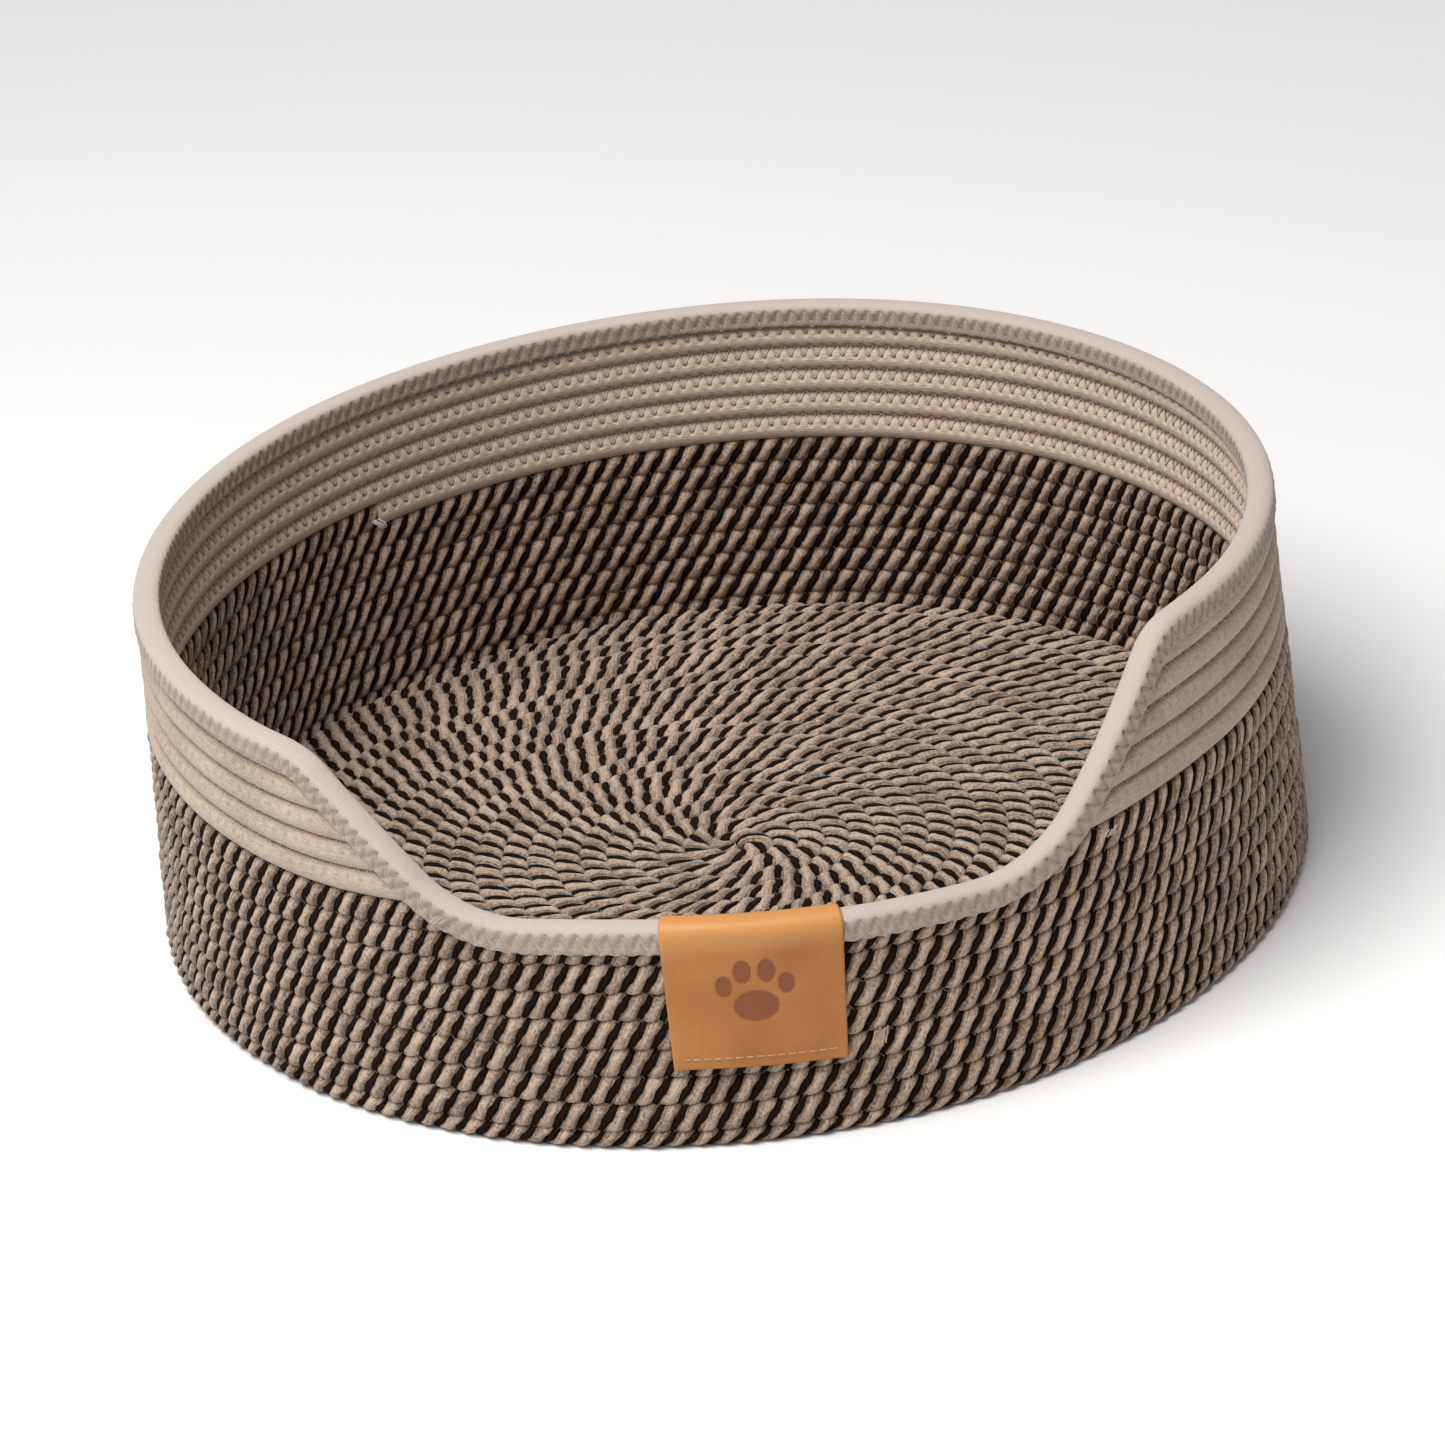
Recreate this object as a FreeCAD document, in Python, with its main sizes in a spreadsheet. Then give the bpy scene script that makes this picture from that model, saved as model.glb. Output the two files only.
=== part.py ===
import FreeCAD, Part
import math
import os
import Sketcher

# A round pet bed basket, made of cotton rope coiled flat for the floor and then stacked course on
# course for the wall, every turn sewn to the one beside it. A doorway is cut down into the front of
# the wall, and one folded tape binds the whole cut edge. Millimetres, +Z up, origin at the centre of
# the underside, doorway and label towards -Y.

os.makedirs("parts", exist_ok=True)
doc = FreeCAD.newDocument("rope_pet_bed")
Vector, Rotation, Placement = FreeCAD.Vector, FreeCAD.Rotation, FreeCAD.Placement
UP = Vector(0, 0, 1)

SIZES = (
    ("rope_pitch", 10.0, "width that one sewn turn of rope takes up"),
    ("rope_thick", 8.0, "thickness of the flattened rope, and so of floor and wall"),
    ("rope_bulge", 1.4, "how far a turn swells beyond its seams"),
    ("core_radius", 7.0, "short starting run at the centre of the floor"),
    ("floor_turns", 20, "turns of rope in the floor, inside the wall"),
    ("dark_courses", 8, "two-tone courses of the wall"),
    ("plain_courses", 6, "plain courses above them"),
    ("wall_lean", 7.0, "how much smaller the rim's radius is than the base's"),
    ("sill_half_width", 99.0, "half of the doorway's flat sill, to its corner"),
    ("door_half_width", 148.0, "half of the doorway at the rim, to its corner"),
    ("door_reach", 230.0, "depth of the doorway's cut, from the middle outwards"),
    ("door_headroom", 60.0, "height of the doorway's cut above the rim"),
    ("sill_rounding", 45.0, "radius where the sill turns up"),
    ("rim_rounding", 18.0, "radius where the doorway meets the rim"),
    ("binding_thick", 0.9, "tape folded over the cut edge"),
    ("binding_width", 9.0, "how far the tape comes down each face"),
    ("binding_ease", 0.05, "slack between the tape and the rope"),
    ("thread_clear", 1.2, "from the cut edge to the end of a seam thread"),
    ("thread_radius", 0.4, "seam thread between the turns"),
    ("thread_seat", 0.8, "how far the thread sits out of the bottom of its groove"),
    ("stitch_radius", 0.4, "thread of the binding, the label and the tacks"),
    ("stitch_length", 5.6, "one binding stitch, across the tape"),
    ("stitch_step", 5.3, "from one binding stitch to the next"),
    ("stitch_drop", 4.9, "from the bound edge down to the middle of its stitches"),
    ("label_width", 60.0, "leather label, along the sill"),
    ("label_drop", 53.0, "how far each half of it hangs below the sill"),
    ("label_thick", 1.2, "its leather"),
    ("label_gap", 0.15, "air between the label and the tape"),
    ("label_hem", 4.0, "from its lower edge to its row of stitches"),
    ("label_stitch", 2.6, "length of one of those stitches"),
    ("label_stitch_step", 3.6, "from one of them to the next"),
    ("tack_length", 7.0, "one thread of a tack"),
    ("tack_step", 2.2, "from one thread of a tack to the next"),
    ("tack_ease", 0.05, "slack under a tack or a label stitch"),
)
sheet = doc.addObject("Spreadsheet::Sheet", "sizes")
for row, (alias, value, note) in enumerate(SIZES, start=1):
    sheet.set("A%d" % row, alias)
    sheet.set("B%d" % row, str(value))
    sheet.set("C%d" % row, note)
    sheet.setAlias("B%d" % row, alias)
doc.recompute()
S = {alias: float(value) for alias, value, note in SIZES}

# ------------------------------------------------------------------ derived sizes
PITCH, THICK, BULGE = S["rope_pitch"], S["rope_thick"], S["rope_bulge"]
DARK, PLAIN, TURNS = (int(S[name]) for name in ("dark_courses", "plain_courses", "floor_turns"))
COURSES = DARK + PLAIN
FLOOR_RADIUS = S["core_radius"] + TURNS * PITCH
BASE_RADIUS = FLOOR_RADIUS + THICK
SILL, RIM = DARK * PITCH, COURSES * PITCH
SKIN = S["binding_thick"]
FLOOR_AT = "(sizes.core_radius + sizes.floor_turns * sizes.rope_pitch)"
SILL_AT = "sizes.dark_courses * sizes.rope_pitch"
RIM_AT = "(sizes.dark_courses + sizes.plain_courses) * sizes.rope_pitch"
LEAN_STEP = "sizes.wall_lean / (sizes.dark_courses + sizes.plain_courses - 1)"
DOOR_RISE = RIM - SILL
DOOR_SLOPE = math.atan2(DOOR_RISE, S["door_half_width"] - S["sill_half_width"])


def middle_radius(courses):
    """Radius of the middle of the wall, at a height given in courses."""
    return BASE_RADIUS - THICK / 2 - (courses - 0.5) * S["wall_lean"] / (COURSES - 1)


def middle_radius_at(courses):
    """The same radius as an expression."""
    return "%s + sizes.rope_thick / 2 - %.1f * %s" % (FLOOR_AT, courses - 0.5, LEAN_STEP)


# ------------------------------------------------------------------ helpers
def bind(thing, **expressions):
    """Binds an object's properties to the sheet; two underscores in a name stand for a dot."""
    for name, text in expressions.items():
        thing.setExpression(name.replace("__", "."), text)


def origin_feature(body, role):
    return next(f for f in body.Origin.OriginFeatures if f.Role == role)


def add_sketch(body, name, role="XZ_Plane"):
    sketch = body.newObject("Sketcher::SketchObject", name)
    sketch.AttachmentSupport = [(origin_feature(body, role), "")]
    sketch.MapMode = "FlatFace"
    return sketch


def add_revolution(body, sketch, name):
    turn = body.newObject("PartDesign::Revolution", name)
    turn.Profile = sketch
    turn.ReferenceAxis = (origin_feature(body, "Z_Axis"), [""])
    turn.Angle = 360.0
    return turn


def pin_point(sketch, where, spot, texts):
    """Holds one end of a line at a distance from the sketch's origin, bound to the sheet."""
    for kind, value, text in zip(("DistanceX", "DistanceY"), spot, texts):
        index = sketch.addConstraint(Sketcher.Constraint(kind, -1, 1, where[0], where[1], value))
        sketch.setExpression("Constraints[%d]" % index, text)


def add_polygon(sketch, corners):
    """A closed outline of straight lines; a corner is its place and its two expressions."""
    points = [Vector(spot[0], spot[1], 0) for spot, texts in corners]
    for here, there in zip(points, points[1:] + points[:1]):
        sketch.addGeometry(Part.LineSegment(here, there), False)
    for i, (spot, texts) in enumerate(corners):
        sketch.addConstraint(Sketcher.Constraint("Coincident", i, 2, (i + 1) % len(points), 1))
        pin_point(sketch, (i, 1), spot, texts)


def sized(kind, name, **expressions):
    """A Part primitive or feature whose sizes are bound to the sheet."""
    thing = doc.addObject(kind, name)
    bind(thing, **expressions)
    return thing


def joined(kind, name, first, second):
    """Part::Cut or Part::Common of two objects."""
    thing = doc.addObject(kind, name)
    thing.Base, thing.Tool = first, second
    return thing


def group(name, pieces):
    """Separate solids kept together in one node."""
    thing = doc.addObject("Part::Compound", name)
    thing.Links = pieces
    return thing


# ------------------------------------------------------------------ rope
def swelling(chord):
    """Radius of the swell across a chord, as a number and as an expression."""
    value = (chord * chord / 4 + BULGE * BULGE) / (2 * BULGE)
    text = "(sizes.rope_pitch ^ 2 / 4 + sizes.rope_bulge ^ 2) / (2 * sizes.rope_bulge)"
    return value, text


def add_arc(sketch, ends, swell, start, end):
    """A swelling side from one end to the other, tied to the two lines that it joins."""
    first, last = ends
    middle = (first + last) / 2 + swell
    arc = sketch.addGeometry(Part.Arc(first, middle, last), False)
    sketch.addConstraint(Sketcher.Constraint("Coincident", arc, 1, *start))
    sketch.addConstraint(Sketcher.Constraint("Coincident", arc, 2, *end))
    value, text = swelling(PITCH)
    index = sketch.addConstraint(Sketcher.Constraint("Radius", arc, value))
    sketch.setExpression("Constraints[%d]" % index, text)


def add_course(body, course):
    """One turn of the wall's rope: flat where turns meet, swelling on both faces."""
    sketch = add_sketch(body, "section_%d" % (course + 1))
    bind(
        sketch,
        AttachmentOffset__Base__x=middle_radius_at(course + 0.5),
        AttachmentOffset__Base__y="sizes.rope_pitch * %.1f" % (course + 0.5),
    )
    wide, high = THICK / 2 - BULGE, PITCH / 2
    wide_at, high_at = "(sizes.rope_thick / 2 - sizes.rope_bulge)", "sizes.rope_pitch / 2"
    low_in, low_out = Vector(-wide, -high, 0), Vector(wide, -high, 0)
    top_out, top_in = Vector(wide, high, 0), Vector(-wide, high, 0)
    sketch.addGeometry(Part.LineSegment(low_in, low_out), False)
    sketch.addGeometry(Part.LineSegment(top_out, top_in), False)
    pin_point(sketch, (0, 1), (-wide, -high), ("-" + wide_at, "-" + high_at))
    pin_point(sketch, (0, 2), (wide, -high), (wide_at, "-" + high_at))
    pin_point(sketch, (1, 1), (wide, high), (wide_at, high_at))
    pin_point(sketch, (1, 2), (-wide, high), ("-" + wide_at, high_at))
    add_arc(sketch, (low_out, top_out), Vector(BULGE, 0, 0), (0, 2), (1, 1))
    add_arc(sketch, (top_in, low_in), Vector(-BULGE, 0, 0), (1, 2), (0, 1))
    return add_revolution(body, sketch, "course_%d" % (course + 1))


def add_floor_turn(body, turn):
    """The swell of one turn of the floor's rope, on top of the floor's slab."""
    sketch = add_sketch(body, "turn_section_%d" % (turn + 1))
    bind(
        sketch,
        AttachmentOffset__Base__x="sizes.core_radius + sizes.rope_pitch * %.1f" % (turn + 0.5),
        AttachmentOffset__Base__y="sizes.rope_thick - sizes.rope_bulge",
    )
    half, half_at = PITCH / 2, "sizes.rope_pitch / 2"
    left, right = Vector(-half, 0, 0), Vector(half, 0, 0)
    sketch.addGeometry(Part.LineSegment(left, right), False)
    pin_point(sketch, (0, 1), (-half, 0), ("-" + half_at, "0 * sizes.rope_pitch"))
    pin_point(sketch, (0, 2), (half, 0), (half_at, "0 * sizes.rope_pitch"))
    add_arc(sketch, (right, left), Vector(0, BULGE, 0), (0, 2), (0, 1))
    return add_revolution(body, sketch, "turn_%d" % (turn + 1))


def make_floor_coil():
    """The floor: a slab with the swell of each turn on top, and the short run at its centre."""
    body = doc.addObject("PartDesign::Body", "floor_coil")
    slab = body.newObject("PartDesign::AdditiveCylinder", "slab")
    bind(slab, Radius=FLOOR_AT, Height="sizes.rope_thick - sizes.rope_bulge")
    core = body.newObject("PartDesign::AdditiveCylinder", "core")
    bind(core, Radius="sizes.core_radius", Height="sizes.rope_thick - sizes.rope_bulge / 2")
    for turn in range(TURNS):
        add_floor_turn(body, turn)
    return body


def make_wall_coil():
    """The two-tone lower wall, all its courses in one run of rope."""
    body = doc.addObject("PartDesign::Body", "wall_coil")
    for course in range(DARK):
        add_course(body, course)
    return body


def make_plain_course(number, door):
    """One plain course of the upper wall, which the doorway cuts into a separate length of rope."""
    body = doc.addObject("PartDesign::Body", "plain_ring_%d" % number)
    add_course(body, DARK + number - 1)
    return joined("Part::Cut", "plain_course_%d" % number, body, door)


# ------------------------------------------------------------------ doorway
def make_door(name, value, text):
    """The block that cuts the doorway, made smaller all round by a value, which may be negative.

    Its outline runs along the rim, down one slanting side, along the sill and up the other side.
    """
    body = doc.addObject("PartDesign::Body", name)
    sketch = add_sketch(body, name + "_outline")
    creep = value * math.tan(DOOR_SLOPE / 2)
    slope_at = (
        "atan((%s - %s) / (sizes.door_half_width - sizes.sill_half_width))" % (RIM_AT, SILL_AT)
    )
    creep_at = "%s * tan(%s / 2)" % (text, slope_at)
    sill_x, rim_x = S["sill_half_width"] - creep, S["door_half_width"] - creep
    sill_x_at = "(sizes.sill_half_width - %s)" % creep_at
    rim_x_at = "(sizes.door_half_width - %s)" % creep_at
    sill_z, rim_z = SILL + value, RIM + value
    sill_z_at, rim_z_at = "%s + %s" % (SILL_AT, text), "%s + %s" % (RIM_AT, text)
    far, far_at = S["door_reach"], "sizes.door_reach"
    top, top_at = RIM + S["door_headroom"], "%s + sizes.door_headroom" % RIM_AT
    add_polygon(
        sketch,
        (
            ((-far, rim_z), ("-" + far_at, rim_z_at)),
            ((-rim_x, rim_z), ("-" + rim_x_at, rim_z_at)),
            ((-sill_x, sill_z), ("-" + sill_x_at, sill_z_at)),
            ((sill_x, sill_z), (sill_x_at, sill_z_at)),
            ((rim_x, rim_z), (rim_x_at, rim_z_at)),
            ((far, rim_z), (far_at, rim_z_at)),
            ((far, top), (far_at, top_at)),
            ((-far, top), ("-" + far_at, top_at)),
        ),
    )
    pad = body.newObject("PartDesign::Pad", name + "_block")
    pad.Profile = sketch
    bind(pad, Length="sizes.door_reach")
    sketch.Visibility = False
    doc.recompute()
    if pad.Shape.BoundBox.YMax > 1:
        pad.Reversed = True
        doc.recompute()
    round_door(body, pad, "sill", sill_x, sill_z, "sizes.sill_rounding - " + text)
    round_door(body, body.Tip, "rim", rim_x, rim_z, "sizes.rim_rounding + " + text)
    return body


def round_door(body, base, which, x, z, radius_at):
    """Rounds the pair of the block's edges that run along Y at plus and minus x, at height z."""
    edges = []
    for number, edge in enumerate(base.Shape.Edges, start=1):
        spots = [vertex.Point for vertex in edge.Vertexes]
        along_y = len(spots) == 2 and abs(spots[0].x - spots[1].x) < 0.01
        if along_y and all(abs(abs(p.x) - x) + abs(p.z - z) < 0.01 for p in spots):
            edges.append("Edge%d" % number)
    fillet = body.newObject("PartDesign::Fillet", body.Name + "_" + which)
    fillet.Base = (base, edges)
    bind(fillet, Radius=radius_at)
    body.Tip = fillet
    doc.recompute()


# ------------------------------------------------------------------ binding
def wall_corner(side, out, out_at, z, z_at):
    """A corner of a section: out of one face of the wall at height z, and its expressions."""
    radius = middle_radius(z / PITCH) + side * (THICK / 2 + out)
    radius_at = "%s + sizes.rope_thick / 2 - ((%s) / sizes.rope_pitch - 0.5) * %s" % (
        FLOOR_AT,
        z_at,
        LEAN_STEP,
    )
    sign = "+" if side > 0 else "-"
    return (radius, z), ("%s %s (sizes.rope_thick / 2 + %s)" % (radius_at, sign, out_at), z_at)


def make_shell(name, grow, low_at, high_at, low, high):
    """A leaning ring as thick as the wall plus grow on each face, between two heights."""
    body = doc.addObject("PartDesign::Body", name)
    sketch = add_sketch(body, name + "_section")
    value, text = grow
    add_polygon(
        sketch,
        (
            wall_corner(-1, value, text, low, low_at),
            wall_corner(-1, value, text, high, high_at),
            wall_corner(1, value, text, high, high_at),
            wall_corner(1, value, text, low, low_at),
        ),
    )
    add_revolution(body, sketch, name + "_ring")
    return body


def make_binding(door, door_inner, door_zone):
    """The folded tape: a skin over the wall near the cut edge, with the wall taken out of it."""
    skin_low, skin_low_at = SILL - S["binding_width"], "%s - sizes.binding_width" % SILL_AT
    skin = make_shell(
        "tape_skin",
        (SKIN, "sizes.binding_thick"),
        skin_low_at,
        RIM_AT + " + sizes.binding_thick",
        skin_low,
        RIM + SKIN,
    )
    filling = make_shell(
        "tape_filling",
        (S["binding_ease"], "sizes.binding_ease"),
        skin_low_at + " - sizes.rope_pitch",
        RIM_AT,
        skin_low - PITCH,
        RIM,
    )
    wall_left = joined("Part::Cut", "wall_left", filling, door)
    rim_low = RIM - S["binding_width"]
    rim_band = sized(
        "Part::Cylinder",
        "rim_band",
        Radius=FLOOR_AT + " + 2 * sizes.rope_thick",
        Height="2 * sizes.binding_width",
        Placement__Base__z=RIM_AT + " - sizes.binding_width",
    )
    rim_band.Placement.Base = Vector(0, 0, rim_low)
    zone = doc.addObject("Part::Fuse", "tape_zone")
    zone.Base, zone.Tool = rim_band, door_zone
    banded = joined("Part::Common", "tape_banded", skin, zone)
    opened = joined("Part::Cut", "tape_opened", banded, door_inner)
    return joined("Part::Cut", "rim_binding", opened, wall_left)


# ------------------------------------------------------------------ threads
def make_wall_seam(name, side):
    """The rings of seam thread in the grooves of one face of the wall, open where the doorway is."""
    sign = "+" if side > 0 else "-"
    rings = []
    for course in range(1, COURSES):
        radius = middle_radius(course) + side * (THICK / 2 - BULGE + S["thread_seat"])
        radius_at = "(%s %s (sizes.rope_thick / 2 - sizes.rope_bulge + sizes.thread_seat))" % (
            middle_radius_at(course),
            sign,
        )
        ring = sized(
            "Part::Torus",
            "%s_ring_%d" % (name, course),
            Radius1=radius_at,
            Radius2="sizes.thread_radius",
            Placement__Base__z="sizes.rope_pitch * %d" % course,
        )
        ring.Placement.Base = Vector(0, 0, PITCH * course)
        if course >= DARK:
            share = (course - DARK) / PLAIN
            reach = S["door_half_width"] - S["sill_half_width"]
            edge = S["sill_half_width"] + share * reach + S["thread_clear"]
            edge_at = (
                "(sizes.sill_half_width + %d / sizes.plain_courses"
                " * (sizes.door_half_width - sizes.sill_half_width) + sizes.thread_clear)"
            ) % (course - DARK)
            half_open = math.degrees(math.asin(edge / radius))
            ring.Placement.Rotation = Rotation(UP, half_open - 90)
            bind(ring, Angle3="360 deg - 2 * asin(%s / %s)" % (edge_at, radius_at))
        rings.append(ring)
    return group(name, rings)


def make_floor_seam():
    """The rings of seam thread in the grooves of the floor's top."""
    rings = []
    for turn in range(TURNS):
        ring = sized(
            "Part::Torus",
            "floor_seam_ring_%d" % turn,
            Radius1="sizes.core_radius + sizes.rope_pitch * %d" % turn,
            Radius2="sizes.thread_radius",
            Placement__Base__z="sizes.rope_thick - sizes.rope_bulge + sizes.thread_seat",
        )
        rings.append(ring)
    return group("floor_seam_thread", rings[1:])


def wall_place(angle, height, side, out):
    """A spot on the wall: its angle from the doorway's middle, its height, its face, and how far
    out of that face; and the directions along the wall and up it there."""
    radius = middle_radius(height / PITCH) + side * (THICK / 2 + out)
    along = Vector(math.cos(angle), math.sin(angle), 0)
    spot = Vector(radius * math.sin(angle), -radius * math.cos(angle), height)
    lean = S["wall_lean"] / ((COURSES - 1) * PITCH)
    outward = Vector(math.sin(angle), -math.cos(angle), 0)
    return spot, along, (UP - outward * lean).normalize()


def stitch(spot, direction, length):
    """One straight stitch of thread, centred on its spot."""
    radius = S["stitch_radius"]
    return Part.makeCylinder(radius, length, spot - direction * (length / 2), direction)


def edge_stations(step):
    """Stations along the bound edge, a step apart: angle, height and the slope of the edge.

    The edge is followed from the middle of the sill, up the slanting side and round the rim to the
    back; the other half is its mirror image.
    """
    rim_radius = middle_radius(COURSES)
    corners = [
        (0.0, SILL),
        (S["sill_half_width"], SILL),
        (S["door_half_width"], RIM),
    ]
    stations = []
    travelled = step / 2
    for (x0, z0), (x1, z1) in zip(corners, corners[1:]):
        length = math.hypot(x1 - x0, z1 - z0)
        slope = math.atan2(z1 - z0, x1 - x0)
        while travelled < length:
            share = travelled / length
            x, z = x0 + (x1 - x0) * share, z0 + (z1 - z0) * share
            stations.append((math.asin(x / middle_radius(z / PITCH)), z, slope))
            travelled += step
        travelled -= length
    start = math.asin(S["door_half_width"] / rim_radius) + travelled / rim_radius
    count = int((math.pi - start) / (step / rim_radius))
    stations += [(start + i * step / rim_radius, RIM, 0.0) for i in range(count + 1)]
    return stations


def make_binding_stitches():
    """Stitches across the tape on both faces of the wall, square to the bound edge."""
    solids = []
    out = SKIN + S["stitch_radius"] + S["label_gap"]
    hidden = math.asin((S["label_width"] / 2 + S["stitch_radius"] * 2) / middle_radius(DARK))
    clear_of_corner = S["stitch_drop"] + S["stitch_length"] / 2
    for angle, height, slope in edge_stations(S["stitch_step"]):
        if angle < hidden or RIM - clear_of_corner / 2 < height < RIM:
            continue
        drop_along = S["stitch_drop"] * math.sin(slope)
        low = height - S["stitch_drop"] * math.cos(slope)
        for hand in (-1, 1):
            turn = hand * (angle + drop_along / middle_radius(height / PITCH))
            for side in (-1, 1):
                spot, along, up = wall_place(turn, low, side, out)
                lie = (up * math.cos(slope) - along * (hand * math.sin(slope))).normalize()
                solids.append(stitch(spot, lie, S["stitch_length"]))
    node = doc.addObject("Part::Feature", "binding_stitches")
    node.Shape = Part.makeCompound(solids)
    return node


def make_tack(name, angle, height, side, rows, cover):
    """A small group of stitches worked over one spot of the wall, on top of a cover's thickness."""
    out = cover + S["tack_ease"] + S["stitch_radius"]
    solids = []
    for row in range(rows):
        z = height + (row - (rows - 1) / 2) * S["tack_step"]
        spot, along, up = wall_place(math.radians(angle), z, side, out)
        solids.append(stitch(spot, along, S["tack_length"]))
    node = doc.addObject("Part::Feature", name)
    node.Shape = Part.makeCompound(solids)
    return node


# ------------------------------------------------------------------ label
def make_label():
    """A strip of leather folded over the sill, with one half hanging down each face.

    It stands off the tape by its gap, and comes in against the rope below the tape.
    """
    body = doc.addObject("PartDesign::Body", "label_ring")
    gap, gap_at = S["label_gap"], "sizes.label_gap"
    tape, tape_at = SKIN + gap, "sizes.binding_thick + sizes.label_gap"
    leather, leather_at = S["label_thick"], " + sizes.label_thick"
    low, low_at = SILL - S["label_drop"], "%s - sizes.label_drop" % SILL_AT
    knee, knee_at = SILL - S["binding_width"], "%s - sizes.binding_width" % SILL_AT
    fold, fold_at = SILL + tape, "%s + %s" % (SILL_AT, tape_at)
    sketch = add_sketch(body, "label_section")
    add_polygon(
        sketch,
        (
            wall_corner(1, gap + leather, gap_at + leather_at, low, low_at),
            wall_corner(1, tape + leather, tape_at + leather_at, knee, knee_at),
            wall_corner(1, tape + leather, tape_at + leather_at, fold + leather, fold_at + leather_at),
            wall_corner(-1, tape + leather, tape_at + leather_at, fold + leather, fold_at + leather_at),
            wall_corner(-1, tape + leather, tape_at + leather_at, knee, knee_at),
            wall_corner(-1, gap + leather, gap_at + leather_at, low, low_at),
            wall_corner(-1, gap, gap_at, low, low_at),
            wall_corner(-1, tape, tape_at, knee, knee_at),
            wall_corner(-1, tape, tape_at, fold, fold_at),
            wall_corner(1, tape, tape_at, fold, fold_at),
            wall_corner(1, tape, tape_at, knee, knee_at),
            wall_corner(1, gap, gap_at, low, low_at),
        ),
    )
    add_revolution(body, sketch, "label_turn")
    strip = sized(
        "Part::Box",
        "label_strip",
        Length="sizes.label_width",
        Width=FLOOR_AT + " + 2 * sizes.rope_thick",
        Height=RIM_AT,
        Placement__Base__x="-sizes.label_width / 2",
        Placement__Base__y="-(%s + 2 * sizes.rope_thick)" % FLOOR_AT,
    )
    return joined("Part::Common", "label", body, strip)


def make_label_stitches():
    """The row of stitches along the label's lower edge, on both faces."""
    solids = []
    height = SILL - S["label_drop"] + S["label_hem"]
    climb = S["label_hem"] / (S["label_drop"] - S["binding_width"])
    out = S["label_gap"] + SKIN * climb + S["label_thick"] + S["stitch_radius"] + S["tack_ease"]
    count = int((S["label_width"] - S["label_hem"]) / S["label_stitch_step"])
    for number in range(count):
        x = (number - (count - 1) / 2) * S["label_stitch_step"]
        angle = math.asin(x / middle_radius(height / PITCH))
        for side in (-1, 1):
            spot, along, up = wall_place(angle, height, side, out)
            solids.append(stitch(spot, along, S["label_stitch"]))
    node = doc.addObject("Part::Feature", "label_stitches")
    node.Shape = Part.makeCompound(solids)
    return node


# ------------------------------------------------------------------ assembly
INSIDE, OUTSIDE = -1, 1
BARE_ROPE = 0.0
SEWN_TAPE = SKIN + S["label_gap"] + 2 * S["stitch_radius"]
TACKS = (
    ("rope_join_tack", -143.0, SILL + 2.0, INSIDE, 3, BARE_ROPE),
    ("door_tack_left", -30.0, SILL + 3.0, OUTSIDE, 2, SEWN_TAPE),
    ("door_tack_right", 36.0, SILL + 3.0, OUTSIDE, 2, SEWN_TAPE),
    ("splice_stitches", 10.5, 34.0, OUTSIDE, 4, BARE_ROPE),
)

door = make_door("door", 0.0, "0 * sizes.binding_thick")
door_inner = make_door("door_inner", SKIN, "sizes.binding_thick")
door_zone = make_door("door_zone", -S["binding_width"], "(-sizes.binding_width)")

nodes = [make_floor_coil(), make_wall_coil()]
nodes += [make_plain_course(number, door) for number in range(1, PLAIN + 1)]
nodes += [
    make_floor_seam(),
    make_wall_seam("wall_seam_thread_inside", INSIDE),
    make_wall_seam("wall_seam_thread_outside", OUTSIDE),
    make_binding(door, door_inner, door_zone),
    make_binding_stitches(),
    make_label(),
    make_label_stitches(),
]
nodes += [make_tack(*tack) for tack in TACKS]
doc.recompute()

for thing in doc.Objects:
    if "Invalid" in thing.State or "Error" in thing.State:
        raise RuntimeError("%s did not recompute: %s" % (thing.Name, thing.State))
for node in nodes:
    node.Label = node.Name
    if node.Shape.isNull() or not node.Shape.isValid():
        raise RuntimeError("%s has no valid shape" % node.Name)
for node in nodes:
    node.Shape.exportStep(os.path.join("parts", node.Label + ".step"))
    box = node.Shape.optimalBoundingBox()
    print(
        "%-26s %4d solids %10.0f mm3  x %6.1f..%6.1f  y %6.1f..%6.1f  z %6.2f..%6.2f"
        % (node.Label, len(node.Shape.Solids), node.Shape.Volume,
           box.XMin, box.XMax, box.YMin, box.YMax, box.ZMin, box.ZMax)
    )
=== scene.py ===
import math

import bpy
import numpy as np
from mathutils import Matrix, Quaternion, Vector


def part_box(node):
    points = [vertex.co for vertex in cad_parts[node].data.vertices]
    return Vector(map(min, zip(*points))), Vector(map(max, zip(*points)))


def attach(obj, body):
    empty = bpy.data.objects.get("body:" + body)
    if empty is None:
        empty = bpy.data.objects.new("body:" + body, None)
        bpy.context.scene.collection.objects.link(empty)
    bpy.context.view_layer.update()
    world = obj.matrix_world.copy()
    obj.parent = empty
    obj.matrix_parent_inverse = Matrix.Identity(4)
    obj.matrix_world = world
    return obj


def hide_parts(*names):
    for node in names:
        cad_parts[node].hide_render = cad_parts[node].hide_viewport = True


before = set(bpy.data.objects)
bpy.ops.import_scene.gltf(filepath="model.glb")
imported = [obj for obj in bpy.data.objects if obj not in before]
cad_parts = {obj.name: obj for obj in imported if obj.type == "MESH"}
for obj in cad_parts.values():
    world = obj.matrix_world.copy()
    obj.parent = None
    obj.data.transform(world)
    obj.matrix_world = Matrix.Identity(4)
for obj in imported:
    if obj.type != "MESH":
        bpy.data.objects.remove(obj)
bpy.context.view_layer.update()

# The looks of a round pet bed basket of coiled cotton rope: a two-tone twisted rope for the floor
# and the lower wall, a plain braided rope above it, zigzag thread in every seam, a folded tape over
# the cut edge and a leather label over the sill. Metres, +Z up, doorway towards -Y. Angles are
# anticlockwise from +X, and the rope coils clockwise, so one turn takes an angle of -360 degrees.

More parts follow.
